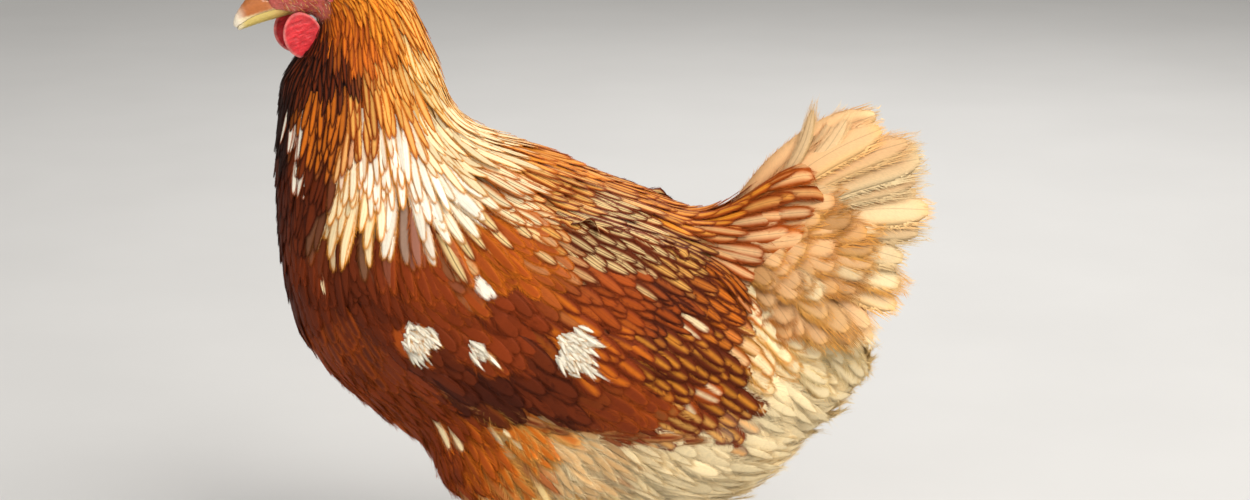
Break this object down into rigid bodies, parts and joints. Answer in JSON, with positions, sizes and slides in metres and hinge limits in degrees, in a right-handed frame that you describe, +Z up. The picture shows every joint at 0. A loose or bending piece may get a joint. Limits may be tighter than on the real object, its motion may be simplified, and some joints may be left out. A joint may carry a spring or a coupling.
{
  "type": "hen",
  "caption": "Life-size still model of a brown laying hen standing with its head turned a little to its left, with folded wings and a raised tail.",
  "frame": {"origin": "on the floor, under the middle of the whole bird's bounding box", "axes": "+Z up, the hen faces -X, its left side is towards -Y"},
  "size_m": [0.4158, 0.1806, 0.4705],
  "materials": {
    "chestnut_plumage": "soft brown feathers",
    "cream_plumage": "soft cream and buff feathers",
    "red_skin": "bare red skin",
    "horn": "worn horn",
    "leg_scale": "pale yellow scaled skin",
    "eye": "wet orange eye"
  },
  "bodies": {
    "root": {"beak_lower": "horn", "beak_upper": "horn", "breast": "chestnut_plumage", "claw_left_hind": "horn", "claw_left_inner": "horn", "claw_left_middle": "horn", "claw_left_outer": "horn", "claw_right_hind": "horn", "claw_right_inner": "horn", "claw_right_middle": "horn", "claw_right_outer": "horn", "comb": "red_skin", "earlobe_left": "red_skin", "earlobe_right": "red_skin", "eye_left": "eye", "eye_right": "eye", "flights_left": "chestnut_plumage", "flights_right": "chestnut_plumage", "foot_left": "leg_scale", "foot_right": "leg_scale", "head": "red_skin", "neck": "chestnut_plumage", "shank_left": "leg_scale", "shank_right": "leg_scale", "tail_coverts": "cream_plumage", "tail_left": "cream_plumage", "tail_right": "cream_plumage", "thigh_left": "cream_plumage", "thigh_right": "cream_plumage", "trunk": "chestnut_plumage", "wattle_left": "red_skin", "wattle_right": "red_skin", "wing_left": "chestnut_plumage", "wing_right": "chestnut_plumage"}
  },
  "joints": []
}
